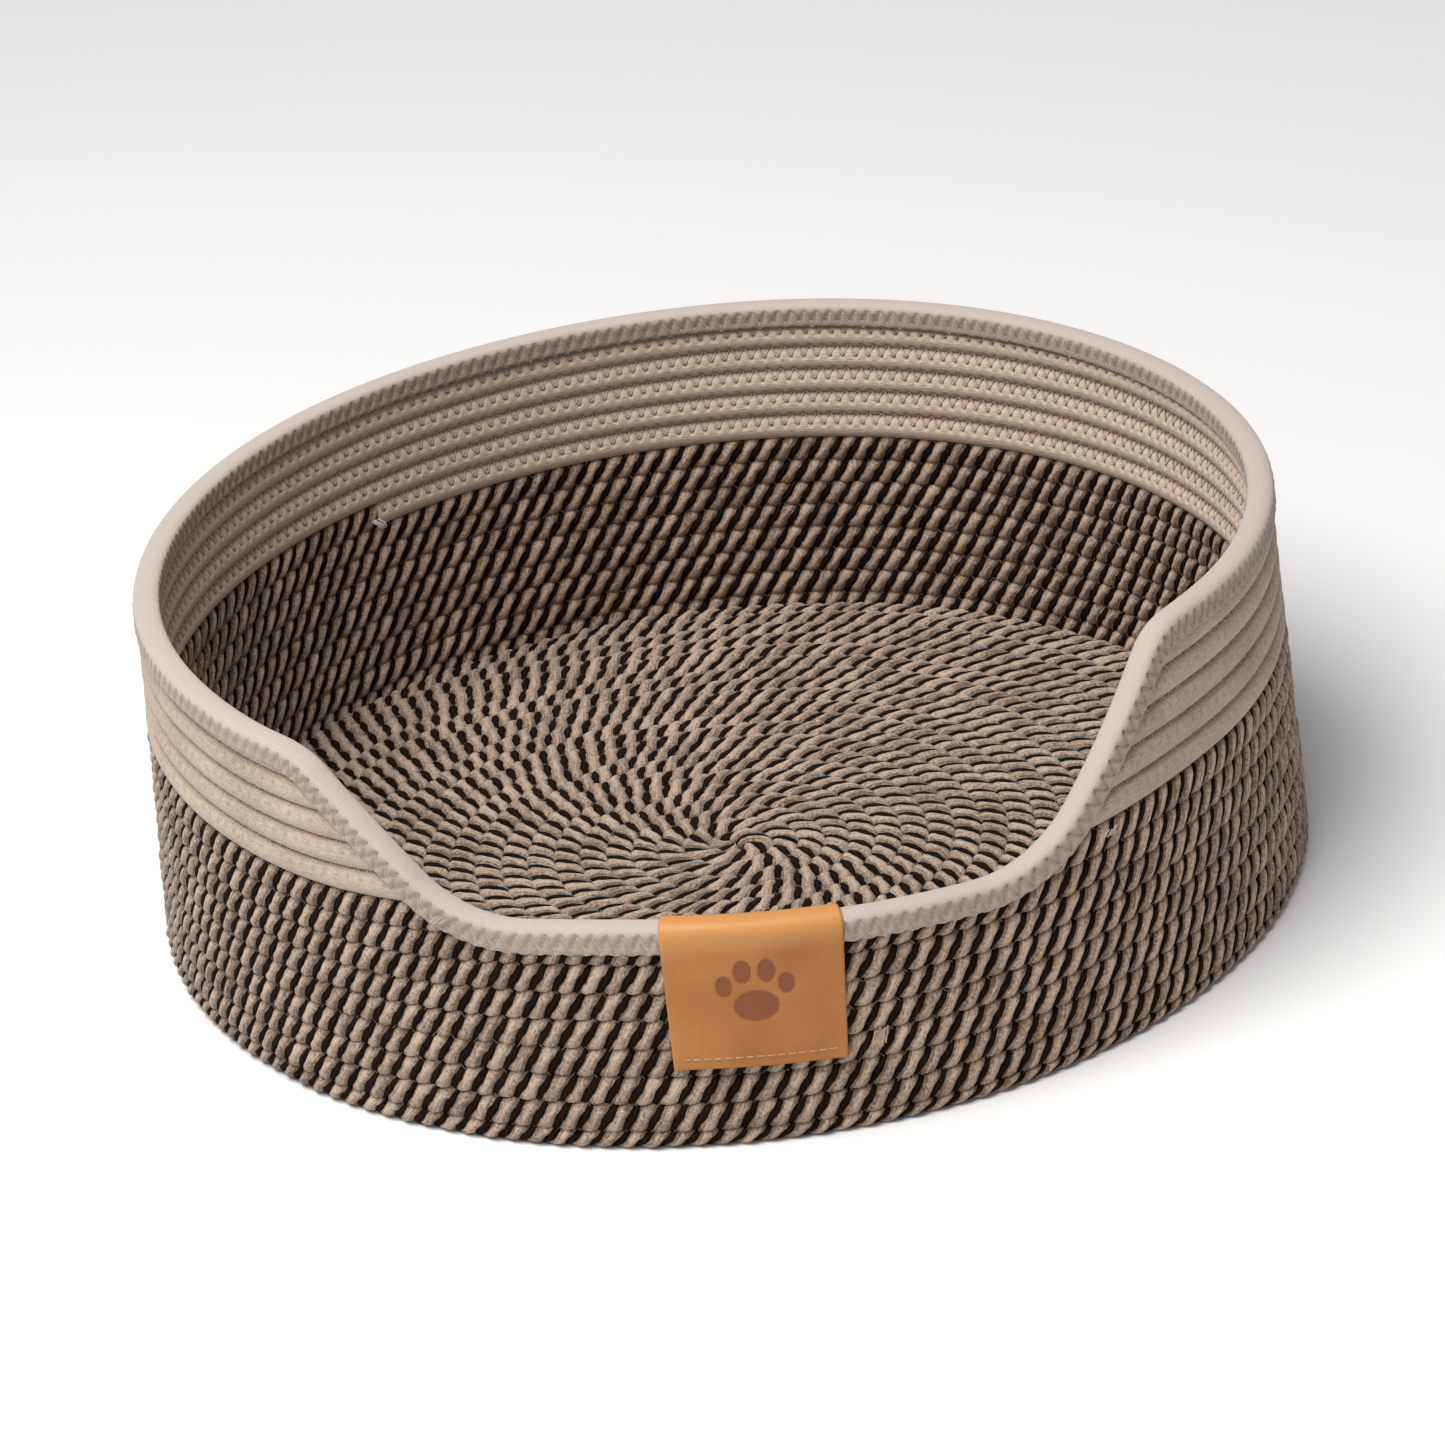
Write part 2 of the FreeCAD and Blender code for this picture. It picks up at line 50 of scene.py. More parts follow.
# ------------------------------------------------------------------ sizes, from the frame
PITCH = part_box("plain_course_1")[1].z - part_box("plain_course_1")[0].z
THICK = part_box("floor_coil")[1].z
BASE_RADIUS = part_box("wall_coil")[1].x
FLOOR_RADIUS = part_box("floor_coil")[1].x
RIM_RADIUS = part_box("plain_course_6")[1].x
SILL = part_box("wall_coil")[1].z
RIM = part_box("plain_course_6")[1].z
DARK_TURNS = round(SILL / PITCH)
ALL_TURNS = round(RIM / PITCH)
LABEL_LOW, LABEL_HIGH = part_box("label")

# ------------------------------------------------------------------ sizes of the looks
MM = 0.001
TURN = 2 * math.pi
FRONT = -math.pi / 2
JOIN_ANGLE = math.radians(127)
SILL_HALF = 99 * MM
DOOR_HALF = 148 * MM
SILL_ROUND = 45 * MM
RIM_ROUND = 18 * MM
LOBES_A_TURN = 162.2
LAY = 2 * TURN * BASE_RADIUS / LOBES_A_TURN
FLOOR_LAY = 1.04 * LAY
ROPE_STEP = 1.2 * MM
ZIG = 2.72 * MM
TAPE_ZIG = 2.65 * MM
TAPE_WIDTH = 8.8 * MM
TAPE_THICK = 0.55 * MM
THREAD = 0.27 * MM


# ------------------------------------------------------------------ numbers along a line
def wander(run, step, size, seed):
    """A value that drifts at random along a run, with a new level every step, up to size each way."""
    count = int((run.max() - run.min()) / step) + 3
    levels = np.random.default_rng(seed).uniform(-size, size, count)
    place = (run - run.min()) / step
    index = np.floor(place).astype(int)
    share = place - index
    share = share * share * (3 - 2 * share)
    return levels[index] * (1 - share) + levels[index + 1] * share


def swell(position, centre, width):
    """1 at the centre, falling smoothly to 0 within a few widths."""
    return np.exp(-(((position - centre) / width) ** 2))


def away_from(angle, other):
    """The signed difference of two angles, from -180 to 180 degrees, in radians."""
    return (angle - other + math.pi) % TURN - math.pi


# ------------------------------------------------------------------ the wall
def wall_radius(z):
    """Radius of the middle of the wall at a height."""
    lean = (BASE_RADIUS - RIM_RADIUS) / (RIM - PITCH)
    return BASE_RADIUS - THICK / 2 - (z - PITCH / 2) * lean


def settle(turned, z):
    """How far the sewn wall has sunk or risen, at an angle from the doorway's middle and a height.

    The sill stands a little high to the left of the label and low to the right of it, and the
    doorway's upper corners droop and lift.
    """
    low, high = np.clip(z / SILL, 0, 1), np.clip(z / RIM, 0, 1) ** 2
    sill_left = 4.9 * MM * swell(turned, math.radians(-15), math.radians(20))
    sill_right = -1.9 * MM * swell(turned, math.radians(30), math.radians(12))
    corner_left = -4.4 * MM * swell(turned, math.radians(-45), math.radians(17))
    corner_right = 2.6 * MM * swell(turned, math.radians(47), math.radians(15))
    tilt = 1.0 * MM * np.sin(turned)
    return low * (sill_left + sill_right) + high * (corner_left + corner_right + tilt)


def wall_spot(angle, z, out, hung_from=None):
    """Points at an angle, a height and a distance out of the middle of the wall.

    The sewn wall isn't quite true: it settles, its outline waves by a millimetre, and the doorway's
    right side sways outwards. A piece that hangs from a height moves as the wall does there.
    """
    turned = away_from(angle, FRONT)
    high = np.clip(z / RIM, 0, 1) ** 2
    sway = 4.2 * MM * swell(turned, math.radians(38), math.radians(9)) * np.clip(z / RIM, 0, 1)
    angle = angle + sway / BASE_RADIUS
    wave = high * (0.9 * MM * np.sin(2 * angle + 0.6) + 0.5 * MM * np.sin(5 * angle + 2.0))
    radius = wall_radius(z) + out + wave
    lift = settle(turned, z if hung_from is None else hung_from)
    return np.stack([radius * np.cos(angle), radius * np.sin(angle), z + lift], axis=-1)


def edge_height(x):
    """Height of the cut edge above a place x along the doorway, as an upright outline."""
    slope = math.atan2(RIM - SILL, DOOR_HALF - SILL_HALF)
    lower = SILL_HALF - SILL_ROUND * math.tan(slope / 2)
    upper = DOOR_HALF + RIM_ROUND * math.tan(slope / 2)
    x = np.abs(x)
    turn_up = SILL + SILL_ROUND - np.sqrt(np.clip(SILL_ROUND**2 - (x - lower) ** 2, 0, None))
    slant = SILL + (x - SILL_HALF) * math.tan(slope)
    turn_out = RIM - RIM_ROUND + np.sqrt(np.clip(RIM_ROUND**2 - (x - upper) ** 2, 0, None))
    height = np.where(x < lower, SILL, turn_up)
    height = np.where(x > lower + SILL_ROUND * math.sin(slope), slant, height)
    height = np.where(x > upper - RIM_ROUND * math.sin(slope), turn_out, height)
    return np.where(x > upper, RIM, height)


def edge_at(angle):
    """Height of the cut edge at an angle."""
    turned = away_from(angle, FRONT)
    across = wall_radius((SILL + RIM) / 2) * np.sin(turned)
    return edge_height(np.where(np.abs(turned) < math.pi / 2, across, DOOR_HALF * 2))


# ------------------------------------------------------------------ meshes
def finish_piece(name, points, faces, materials, face_slots=None, uv=None, shade=None):
    """An object of quads and triangles, smooth, with its texture places and its shade per point."""
    mesh = bpy.data.meshes.new(name)
    flat = np.concatenate([np.asarray(f, np.int32).ravel() for f in faces])
    sizes = np.concatenate([np.full(len(f), np.asarray(f).shape[1], np.int32) for f in faces])
    starts = np.concatenate([[0], np.cumsum(sizes)[:-1]]).astype(np.int32)
    mesh.vertices.add(len(points))
    mesh.vertices.foreach_set("co", np.asarray(points, np.float32).ravel())
    mesh.loops.add(len(flat))
    mesh.loops.foreach_set("vertex_index", flat)
    mesh.polygons.add(len(sizes))
    mesh.polygons.foreach_set("loop_start", starts)
    mesh.polygons.foreach_set("use_smooth", np.ones(len(sizes), bool))
    for material in materials:
        mesh.materials.append(material)
    if face_slots is not None:
        mesh.polygons.foreach_set("material_index", np.asarray(face_slots, np.int32))
    if uv is not None:
        layer = mesh.uv_layers.new(name="along")
        layer.data.foreach_set("uv", np.asarray(uv, np.float32).ravel())
    if shade is not None:
        layer = mesh.attributes.new("shade", "FLOAT", "POINT")
        layer.data.foreach_set("value", np.asarray(shade, np.float32).ravel())
    mesh.update(calc_edges=True)
    mesh.validate()
    piece = bpy.data.objects.new(name, mesh)
    bpy.context.scene.collection.objects.link(piece)
    return piece


def round_faces(rings, columns, first=0):
    """Quads between rings of points, going round, with the outside face outwards."""
    row = np.arange(rings - 1)[:, None] * columns + first
    here = np.arange(columns)[None, :]
    there = (here + 1) % columns
    quads = np.stack([row + here, row + there, row + columns + there, row + columns + here], axis=-1)
    return quads.reshape(-1, 4)


def round_uv(run, across):
    """Texture places for the same quads: the distance along and the distance round."""
    u0, u1 = run[:-1, None], run[1:, None]
    v0, v1 = across[None, :-1], across[None, 1:]
    u0, u1, v0, v1 = np.broadcast_arrays(u0, u1, v0, v1)
    corners = [np.stack(pair, axis=-1) for pair in ((u0, v0), (u0, v1), (u1, v1), (u1, v0))]
    return np.stack(corners, axis=2).reshape(-1, 2)


def end_cap(start, columns, hub):
    """Triangles between a ring of points, numbered from start, and the point in its middle."""
    here = np.arange(columns)
    there = (here + 1) % columns
    return np.stack([start + here, start + there, np.full(columns, hub)], axis=-1)


def tubes(name, runs, materials, column_slots=None):
    """One piece from several closed tubes. A run is its rings, its distances and its shade."""
    points, faces, slots, uv, shades = [], [], [], [], []
    first = 0
    for rings, run, across, shade in runs:
        count, columns = rings.shape[:2]
        quads = round_faces(count, columns, first)
        hub = first + count * columns
        caps = [end_cap(first, columns, hub)[:, (1, 0, 2)], end_cap(hub - columns, columns, hub + 1)]
        points += [rings.reshape(-1, 3), rings[0].mean(0)[None], rings[-1].mean(0)[None]]
        faces.append((quads, caps))
        of_column = np.zeros(columns, int) if column_slots is None else column_slots
        slots.append((np.tile(of_column, count - 1), np.tile(of_column, 2)))
        uv.append((round_uv(run, across), np.zeros((6 * columns, 2))))
        shades.append(np.concatenate([shade.ravel(), [0.5, 0.5]]))
        first += count * columns + 2
    quads = [f[0] for f in faces]
    triangles = [cap for f in faces for cap in f[1]]
    return finish_piece(
        name,
        np.concatenate(points),
        [np.concatenate(quads), np.concatenate(triangles)],
        materials,
        np.concatenate([s[0] for s in slots] + [s[1] for s in slots]),
        np.concatenate([u[0] for u in uv] + [u[1] for u in uv]),
        np.concatenate(shades),
    )


def thread_tube(path, radius=THREAD, sides=4):
    """The rings of a thin tube along a path of points."""
    along = np.gradient(path, axis=0)
    along /= np.linalg.norm(along, axis=1, keepdims=True) + 1e-12
    side = np.cross(along, [0.31, 0.22, 0.92])
    side /= np.linalg.norm(side, axis=1, keepdims=True) + 1e-12
    third = np.cross(along, side)
    angle = np.arange(sides) * TURN / sides
    rings = (
        path[:, None]
        + radius * np.cos(angle)[None, :, None] * side[:, None]
        + radius * np.sin(angle)[None, :, None] * third[:, None]
    )
    run = np.concatenate([[0], np.cumsum(np.linalg.norm(np.diff(path, axis=0), axis=1))])
    return rings, run, np.linspace(0, radius * TURN, sides + 1), np.full(rings.shape[:2], 0.5)


def stretches(wanted):
    """(first, last + 1) of each unbroken run of True that is long enough to build."""
    edges = np.flatnonzero(np.diff(np.concatenate([[0], wanted.astype(int), [0]])))
    return [(a, b) for a, b in zip(edges[::2], edges[1::2]) if b - a > 3]


# ------------------------------------------------------------------ materials
def new_material(name, color, roughness, sheen=0.0, gloss=0.25):
    """A material and its node tree, with the values that are the same all over set on the shader."""
    material = bpy.data.materials.new(name)
    material.use_nodes = True
    shader = material.node_tree.nodes["Principled BSDF"]
    shader.inputs["Base Color"].default_value = (*color, 1)
    shader.inputs["Roughness"].default_value = roughness
    shader.inputs["Specular IOR Level"].default_value = gloss
    shader.inputs["Sheen Weight"].default_value = sheen
    shader.inputs["Sheen Roughness"].default_value = 0.6
    return material, material.node_tree, shader


def add(tree, kind, links=(), **values):
    """A node with its inputs set or linked; links are pairs of an input's name and an output."""
    made = tree.nodes.new(kind)
    for name, value in values.items():
        if name in made.inputs:
            made.inputs[name].default_value = value
        elif name.replace("_", " ") in made.inputs:
            made.inputs[name.replace("_", " ")].default_value = value
        else:
            setattr(made, name, value)
    for name, output in links:
        tree.links.new(output, made.inputs[name])
    return made


def ramp(tree, factor, stops):
    """A colour ramp over a factor; a stop is its place and its colour."""
    made = add(tree, "ShaderNodeValToRGB", [("Fac", factor)])
    while len(made.color_ramp.elements) < len(stops):
        made.color_ramp.elements.new(0.5)
    for element, (place, color) in zip(made.color_ramp.elements, stops):
        element.position = place
        element.color = (*color, 1)
    return made.outputs["Color"]


def times_plus(tree, factor, by, plus):
    """A node that multiplies an output by a number and adds another output."""
    made = add(tree, "ShaderNodeMath", [(0, factor), (2, plus)], operation="MULTIPLY_ADD")
    made.inputs[1].default_value = by
    return made


DRIFT = 0.3


def fabric(name, dark, light, relief, sheen=0.2, along=170.0, across=1100.0, mottle=1.6, gloss=0.25):
    """Cotton: yarn lines along the piece, a fine fuzz, and a slow drift of tone, as strong as mottle.

    The shade of each point, which the mesh carries, moves the colour between dark and light; besides
    random tone it holds painted shade and painted light.
    """
    material, tree, shader = new_material(name, light, 0.92, sheen, gloss)
    places = add(tree, "ShaderNodeUVMap", uv_map="along")
    solid = add(tree, "ShaderNodeTexCoord")
    shade = add(tree, "ShaderNodeAttribute", attribute_name="shade")
    lines = add(tree, "ShaderNodeMapping", [("Vector", places.outputs["UV"])], Scale=(along, across, 1))
    yarn = add(tree, "ShaderNodeTexNoise", [("Vector", lines.outputs["Vector"])], Scale=1.0, Detail=3.0)
    place = [("Vector", solid.outputs["Object"])]
    fuzz = add(tree, "ShaderNodeTexNoise", place, Scale=900.0, Detail=3.0)
    drift = add(tree, "ShaderNodeTexNoise", place, Scale=60.0, Detail=1.0)
    pair = add(tree, "ShaderNodeMath", [(0, yarn.outputs["Fac"]), (1, fuzz.outputs["Fac"])])
    total = times_plus(tree, drift.outputs["Fac"], DRIFT, pair.outputs[0])
    mixed = times_plus(tree, total.outputs[0], mottle, shade.outputs["Fac"])
    placed = add(tree, "ShaderNodeMapRange", [("Value", mixed.outputs[0])])
    middle = (1 + DRIFT / 2) * mottle
    placed.inputs["From Min"].default_value = middle - 0.2
    placed.inputs["From Max"].default_value = middle + 1.1
    color = ramp(tree, placed.outputs["Result"], ((0.0, dark), (1.0, light)))
    tree.links.new(color, shader.inputs["Base Color"])
    bump = add(tree, "ShaderNodeBump", [("Height", pair.outputs[0])], Strength=0.8, Distance=relief)
    tree.links.new(bump.outputs["Normal"], shader.inputs["Normal"])
    return material


COTTON = fabric("natural_cotton", (0.11, 0.075, 0.05), (0.485, 0.358, 0.265), 0.8 * MM, mottle=2.6)
BLACK = fabric(
    "black_cotton", (0.003, 0.0018, 0.0012), (0.017, 0.0095, 0.0055), 0.6 * MM, sheen=0.0, gloss=0.05
)
PLAIN = fabric(
    "plain_cotton", (0.135, 0.103, 0.074), (0.535, 0.421, 0.325), 0.45 * MM, across=1500.0, mottle=1.0
)
TAPE = fabric(
    "tape_cotton", (0.29, 0.218, 0.165), (0.425, 0.366, 0.325), 0.25 * MM, across=1500.0, mottle=0.7
)
LIGHT_THREAD = fabric("light_thread", (0.36, 0.29, 0.232), (0.55, 0.45, 0.365), 0.1 * MM)
SEAM_THREAD = fabric("seam_thread", (0.06, 0.041, 0.028), (0.16, 0.11, 0.08), 0.1 * MM)
WHITE_THREAD = fabric("white_thread", (0.45, 0.43, 0.41), (0.66, 0.64, 0.62), 0.1 * MM)
LABEL_THREAD = fabric("label_thread", (0.36, 0.17, 0.065), (0.50, 0.26, 0.11), 0.1 * MM)


def leather():
    """Smooth tan leather with a fine grain, a painted highlight where it folds over the sill, and the
    brown of the print where the mesh's shade says so."""
    material, tree, shader = new_material("tan_leather", (0.40, 0.15, 0.04), 0.42, gloss=0.32)
    solid = add(tree, "ShaderNodeTexCoord")
    place = [("Vector", solid.outputs["Object"])]
    grain = add(tree, "ShaderNodeTexVoronoi", place, Scale=1300.0)
    cloud = add(tree, "ShaderNodeTexNoise", place, Scale=38.0, Detail=3.0)
    tone = ramp(tree, cloud.outputs["Fac"], ((0.3, (0.335, 0.122, 0.028)), (0.7, (0.435, 0.172, 0.044))))
    mark = add(tree, "ShaderNodeAttribute", attribute_name="shade")
    mixed = add(tree, "ShaderNodeMix", [("Factor", mark.outputs["Fac"])], data_type="RGBA")
    height = add(tree, "ShaderNodeSeparateXYZ", [("Vector", solid.outputs["Object"])])
    # Painted highlight: the colour is made lighter near the top of the sill, where the leather folds
    # over it.
    fold_highlight = add(tree, "ShaderNodeMapRange", [("Value", height.outputs["Z"])])
    fold_highlight.interpolation_type = "SMOOTHSTEP"
    fold_highlight.inputs["From Min"].default_value = SILL - 8 * MM
    fold_highlight.inputs["From Max"].default_value = SILL + 1 * MM
    highlight_mix = add(tree, "ShaderNodeMix", [("Factor", fold_highlight.outputs["Result"])], data_type="RGBA")
    tree.links.new(tone, highlight_mix.inputs[6])
    highlight_mix.inputs[7].default_value = (0.50, 0.225, 0.07, 1)
    tree.links.new(highlight_mix.outputs[2], mixed.inputs[6])
    mixed.inputs[7].default_value = (0.22, 0.062, 0.02, 1)
    tree.links.new(mixed.outputs[2], shader.inputs["Base Color"])
    pitted = [("Height", grain.outputs["Distance"])]
    bump = add(tree, "ShaderNodeBump", pitted, Strength=0.15, Distance=0.2 * MM)
    tree.links.new(bump.outputs["Normal"], shader.inputs["Normal"])
    return material


LEATHER = leather()

# ------------------------------------------------------------------ two-tone rope
STRANDS = ((math.radians(111), 6, 0), (math.radians(69), 4, 1)) * 2
BORDER_SINK = 0.34
BLACK_SINK = 0.24
# How a twisted rope sits in its seams: the power of its oblong section, how far the black strands
# widen on an open face, how much more the strands slant there, and how much painted shade darkens the
# seams.
WALL_TWIST = {"power": 2.8, "pinch": math.radians(7.5), "slant": 0.15, "painted_seam_shade": 0.35}
FLOOR_TWIST = {"power": 3.1, "pinch": math.radians(10), "slant": 0.08, "painted_seam_shade": 0.1}
GRIP = 0.22
STRAY = math.radians(8)
FULLNESS = 0.08
TONE = 0.28
FRONT_LEAD = 0.29
LEFT_LEAD = 0.17
DARK_SQUEEZE = 0.6 * MM
PLAIN_SQUEEZE = 0.2 * MM
CUT_BACK = 0.5 * MM
THINNEST = 2.5 * MM


def strand_columns():
    """Angle, place in its strand from 0 to 1, strand and material of each column round the rope."""
    angles, places, strands, slots = [], [], [], []
    start = 0.0
    for number, (width, spans, slot) in enumerate(STRANDS):
        for span in range(spans):
            angles.append(start + width * span / spans)
            places.append(span / spans)
            strands.append(number)
            slots.append(slot)
        start += width
    return np.array(angles), np.array(places), np.array(strands), np.array(slots)


def twisted(run, crest, twist, seed, lead=0.0, lay=LAY):
    """Offsets of the twisted rope's section, as shares of its half sizes, and its shade. The lead is
    an extra turn of the twist at each place along the run.

    The open faces are the ones across the first offset where crest is 1 and across the second one
    where it is -1. The black strands are widest there and narrow towards the neighbouring turns,
    which the rope is pressed flat against.
    """
    angles, places, strands, slots = strand_columns()
    count = len(STRANDS)
    phase = TURN * run / lay + wander(run, 90 * MM, 0.4, seed) + lead
    stray = [wander(run, LAY * 0.35, STRAY, seed + 1 + k) for k in range(count)]
    stray = np.stack(stray, axis=1)
    stray = stray[:, strands] * (1 - places) + stray[:, (strands + 1) % count] * places
    angle = angles - phase[:, None] + stray
    width = STRANDS[0][0]
    knots = (0, width / 2, width, (width + math.pi) / 2, math.pi)
    spread = 2 * np.clip(crest * np.cos(2 * angle), 0, 1) ** 2 - 1
    angle += twist["pinch"] * np.interp(angles % math.pi, knots, (1, 0, -1, 0, 1)) * spread
    angle -= crest * twist["slant"] * np.sin(2 * angle)
    dome = (2 * places - 1) ** 2
    sink = np.where(slots == 0, BORDER_SINK * dome, BLACK_SINK + (BORDER_SINK - BLACK_SINK) * dome)
    full = np.stack([wander(run, LAY * 0.5, FULLNESS, seed + 11 + k) for k in range(count)], axis=1)
    sink = sink - full[:, strands] * (1 - dome)
    one, two = squared(angle, twist["power"])
    pressed = np.clip((np.abs(two if crest > 0 else one) - 0.6) / 0.3, 0, 1)
    one = one * (1 - sink * (1 if crest > 0 else GRIP))
    two = two * (1 - sink * (1 if crest < 0 else GRIP))
    tone = np.stack([wander(run, LAY * 0.5, TONE, seed + 21 + k) for k in range(count)], axis=1)
    # The shade: random tone per strand, painted shade that darkens each strand towards its edges, and
    # painted shade along the seams where the rope meets its neighbouring turns.
    return one, two, 0.76 + tone[:, strands] - 1.0 * dome - twist["painted_seam_shade"] * pressed


def oval(angle, power):
    """A rounded oblong of half sizes 1, as its two coordinates at an angle."""
    bend = 2 / power
    one, two = np.cos(angle), np.sin(angle)
    return np.sign(one) * np.abs(one) ** bend, np.sign(two) * np.abs(two) ** bend


def squared(angle, power):
    """The same outline, by the angle at which a point is seen from the middle, so that the strands
    cross each face of a rope at an even slant."""
    reach = (np.abs(np.cos(angle)) ** power + np.abs(np.sin(angle)) ** power) ** (-1 / power)
    return reach * np.cos(angle), reach * np.sin(angle)


def wall_section(turns, squeeze):
    """Angle, lower and upper height of the wall's rope at a number of turns from its start. The
    turns are pressed into each other by the squeeze, and end under the tape at the cut edge."""
    angle = JOIN_ANGLE - TURN * turns
    low = np.maximum(PITCH * turns, 0.0)
    high = np.minimum(PITCH * (turns + 1), edge_at(angle) - CUT_BACK)
    return angle, low - squeeze, high + squeeze


def undercut(z):
    """How far the foot of the wall is drawn in at a height, where its rope rounds under."""
    return 2.4 * MM * np.clip(1 - z / (4.5 * MM), 0, 1) ** 2


def make_wall_rope(name, first_turn, last_turn, seed):
    """The two-tone rope of the wall, climbing one course in each turn."""
    turns = np.arange(first_turn, last_turn, ROPE_STEP / (TURN * BASE_RADIUS))
    angle, low, high = wall_section(turns, DARK_SQUEEZE)
    run = turns * TURN * BASE_RADIUS
    front = FRONT_LEAD * (1 + np.cos(away_from(angle, FRONT))) / 2
    left = LEFT_LEAD * swell(away_from(angle, FRONT), math.radians(-55), math.radians(30))
    lead = math.pi * (turns - DARK_TURNS / 2) * (front + left)
    one, two, shade = twisted(run, 1, WALL_TWIST, seed, lead)
    z = ((low + high) / 2)[:, None] + two * ((high - low) / 2)[:, None]
    z = np.maximum(z, 0)
    out = one * THICK / 2 + wander(run, 35 * MM, 0.25 * MM, seed + 40)[:, None]
    out = out - undercut(z) * (out > 0)
    rings = wall_spot(angle[:, None], z, out)
    across = np.linspace(0, TURN * PITCH / 2, one.shape[1] + 1)
    runs = [(rings[a:b], run[a:b], across, shade[a:b]) for a, b in stretches(high - low > THINNEST)]
    return tubes(name, runs, [COTTON, BLACK], strand_columns()[3])


def floor_turn_edges(turns):
    """Inner and outer radius of the floor's rope at a number of turns from its centre."""
    inner = PITCH * (turns - 0.06)
    return inner, np.minimum(inner + PITCH, FLOOR_RADIUS + 0.5 * MM)


FLOOR_START = -0.42
FLOOR_TURNS = FLOOR_RADIUS / PITCH


def floor_run(first_turn, last_turn, step):
    """Distances along the floor's rope, a step apart, and the number of turns at each of them."""
    knots = np.linspace(FLOOR_START, FLOOR_TURNS + 1, 6000)
    radius = np.maximum(PITCH * (knots + 0.44), 4 * MM)
    length = np.concatenate([[0], np.cumsum(TURN * radius[1:] * np.diff(knots))])
    first, last = np.interp([first_turn, last_turn], knots, length)
    run = np.arange(first, last, step)
    return run, np.interp(run, length, knots)


def floor_spot(angle, radius, z):
    """A point of the floor: round at its edge, and drawn out sideways at its centre."""
    stretch = 1 + 0.3 * np.exp(-radius / (13 * MM))
    return np.stack([radius * np.cos(angle) * stretch, radius * np.sin(angle), z + 0 * angle], axis=-1)


def make_floor_rope(name, first_turn, last_turn, seed):
    """The two-tone rope of the floor, coiled flat from the centre outwards."""
    run, turns = floor_run(first_turn, last_turn, ROPE_STEP)
    inner, outer = floor_turn_edges(turns)
    one, two, shade = twisted(run, -1, FLOOR_TWIST, seed, lay=FLOOR_LAY)
    half = (outer - inner) / 2 + DARK_SQUEEZE
    radius = np.maximum(((inner + outer) / 2)[:, None] + one * half[:, None], 0.2 * MM)
    z = THICK / 2 * (1 + two) + wander(run, 30 * MM, 0.2 * MM, seed + 40)[:, None] * (two > 0)
    rings = floor_spot((JOIN_ANGLE - TURN * turns)[:, None], radius, np.maximum(z, 0))
    across = np.linspace(0, TURN * PITCH / 2, one.shape[1] + 1)
    runs = [(rings[a:b], run[a:b], across, shade[a:b]) for a, b in stretches(outer - inner > 2 * MM)]
    return tubes(name, runs, [COTTON, BLACK], strand_columns()[3])


# ------------------------------------------------------------------ zigzag seams
SEAM_RUN = TURN * wall_radius(RIM / 2)
SEAM_HALF = 2.5 * MM


def tri(place):
    """A zigzag from 1 to -1 and back, over two steps."""
    return np.abs((place % 2) - 1) * 2 - 1


def seam_dent(turns, above):
    """How far the zigzag draws the surface in at a height above its seam, from 0 to 1: a furrow
    along each leg, and a pit at each end of one, where the needle goes in."""
    place = turns * SEAM_RUN / ZIG
    leg = np.abs(above - SEAM_HALF * tri(place)) / math.hypot(2 * SEAM_HALF / ZIG, 1)
    reach = np.clip((SEAM_HALF * 1.3 - np.abs(above)) / (0.6 * MM), 0, 1)
    furrow = np.exp(-((leg / (0.65 * MM)) ** 2)) * reach
    upper = np.hypot(((place + 1) % 2 - 1) * ZIG, above - SEAM_HALF)
    lower = np.hypot((place % 2 - 1) * ZIG, above + SEAM_HALF)
    pit = np.exp(-((lower / (0.95 * MM)) ** 2)) + 0.4 * np.exp(-((upper / (0.7 * MM)) ** 2))
    return furrow, pit


PLAIN_POWER = 2.15
SEAM_DROP = 1.0 * MM


def plain_surface(above, power=PLAIN_POWER):
    """How far the face of a plain course stands out of the middle of the wall, at a height above
    the seam under it."""
    share = np.clip(np.abs((above % PITCH) - PITCH / 2) / (PITCH / 2), 0, 1)
    return THICK / 2 * (1 - share**power) ** (1 / power)


def face_columns(count):
    """Angles round a section, closer together on its two faces than where it meets its neighbours."""
    even = np.linspace(0, TURN, count + 1)[:-1]
    return even - 0.22 * np.sin(2 * even)


